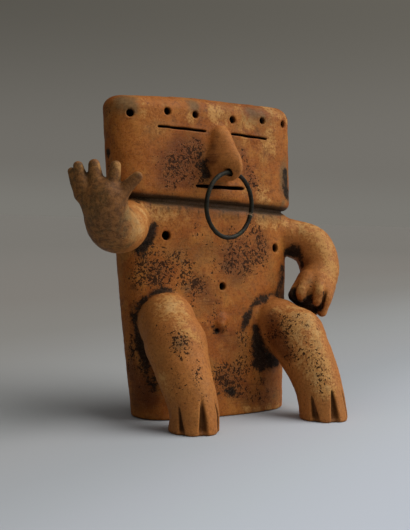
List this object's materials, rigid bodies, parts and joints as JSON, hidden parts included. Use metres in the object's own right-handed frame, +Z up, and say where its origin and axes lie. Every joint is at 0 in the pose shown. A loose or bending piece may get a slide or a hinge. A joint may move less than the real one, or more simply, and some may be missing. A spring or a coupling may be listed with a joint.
{
  "type": "anthropomorphic statuette",
  "caption": "Seated terracotta figure with a slab head and body, one arm raised, one hand on the thigh, and a loose wire ring through the nose.",
  "frame": {"origin": "middle of the slab's underside, on the surface that the figure stands on", "axes": "+Z up, the face looks along -Y, +X is on the viewer's right of a person who faces the figure"},
  "size_m": [0.2972, 0.1518, 0.28],
  "materials": {
    "terracotta": "burnished orange-brown slip, matte, with dark mottling and pits",
    "ring_metal": "copper-alloy wire under a dark green-black patina"
  },
  "bodies": {
    "root": {"ceramic_figure": "terracotta", "nose_ring": "ring_metal"}
  },
  "joints": []
}
